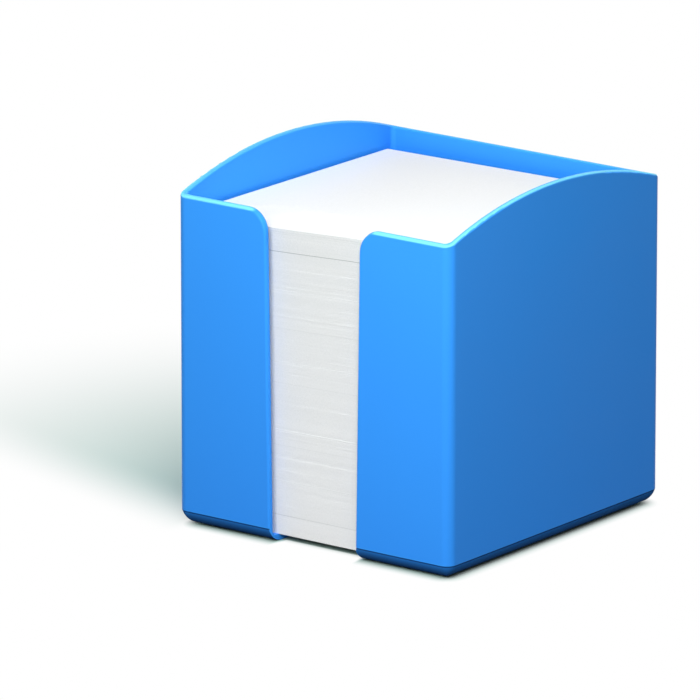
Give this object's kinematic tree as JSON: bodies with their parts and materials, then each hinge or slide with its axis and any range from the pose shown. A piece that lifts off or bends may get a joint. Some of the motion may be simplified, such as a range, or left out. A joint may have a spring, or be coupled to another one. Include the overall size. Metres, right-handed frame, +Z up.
{
  "type": "memo box",
  "caption": "Open-topped desk box with arched side walls, a front thumb slot and a rounded foot, filled with loose square note paper.",
  "frame": {"origin": "middle of the base, on the surface that the box stands on", "axes": "+X to the right along the front wall, +Y from the slotted front to the back wall, +Z up"},
  "size_m": [0.096, 0.1006, 0.105],
  "materials": {
    "blue_plastic": "smooth satin moulding",
    "note_paper": "plain white uncoated"
  },
  "bodies": {
    "box": {"box_shell": "blue_plastic"},
    "lower_notes": {"note_pack_01": "note_paper", "note_pack_02": "note_paper", "note_pack_03": "note_paper", "note_pack_04": "note_paper"},
    "middle_notes": {"note_pack_05": "note_paper", "note_pack_06": "note_paper", "note_pack_07": "note_paper", "note_pack_08": "note_paper", "note_pack_09": "note_paper"},
    "upper_notes": {"note_pack_10": "note_paper", "note_pack_11": "note_paper"},
    "loose_sheet_1": {"loose_sheet_1": "note_paper"},
    "loose_sheet_2": {"loose_sheet_2": "note_paper"},
    "loose_sheet_3": {"loose_sheet_3": "note_paper"},
    "loose_sheet_4": {"loose_sheet_4": "note_paper"},
    "loose_sheet_5": {"loose_sheet_5": "note_paper"},
    "loose_sheet_6": {"loose_sheet_6": "note_paper"},
    "loose_sheet_7": {"loose_sheet_7": "note_paper"},
    "loose_sheet_8": {"loose_sheet_8": "note_paper"}
  },
  "joints": [
    {"name": "lower_notes_lift", "type": "slide", "parent": "box", "child": "lower_notes", "axis": [0, 0, 1], "range_m": [0, 0.108]},
    {"name": "middle_notes_lift", "type": "slide", "parent": "lower_notes", "child": "middle_notes", "axis": [0, 0, 1], "range_m": [0, 0.077]},
    {"name": "upper_notes_lift", "type": "slide", "parent": "middle_notes", "child": "upper_notes", "axis": [0, 0, 1], "range_m": [0, 0.025]},
    {"name": "loose_sheet_1_lift", "type": "slide", "parent": "upper_notes", "child": "loose_sheet_1", "axis": [0, 0, 1], "range_m": [0, 0.02]},
    {"name": "loose_sheet_2_lift", "type": "slide", "parent": "loose_sheet_1", "child": "loose_sheet_2", "axis": [0, 0, 1], "range_m": [0, 0.02]},
    {"name": "loose_sheet_3_lift", "type": "slide", "parent": "loose_sheet_2", "child": "loose_sheet_3", "axis": [0, 0, 1], "range_m": [0, 0.02]},
    {"name": "loose_sheet_4_lift", "type": "slide", "parent": "loose_sheet_3", "child": "loose_sheet_4", "axis": [0, 0, 1], "range_m": [0, 0.02]},
    {"name": "loose_sheet_5_lift", "type": "slide", "parent": "loose_sheet_4", "child": "loose_sheet_5", "axis": [0, 0, 1], "range_m": [0, 0.02]},
    {"name": "loose_sheet_6_lift", "type": "slide", "parent": "loose_sheet_5", "child": "loose_sheet_6", "axis": [0, 0, 1], "range_m": [0, 0.02]},
    {"name": "loose_sheet_7_lift", "type": "slide", "parent": "loose_sheet_6", "child": "loose_sheet_7", "axis": [0, 0, 1], "range_m": [0, 0.02]},
    {"name": "loose_sheet_8_lift", "type": "slide", "parent": "loose_sheet_7", "child": "loose_sheet_8", "axis": [0, 0, 1], "range_m": [0, 0.02]}
  ]
}
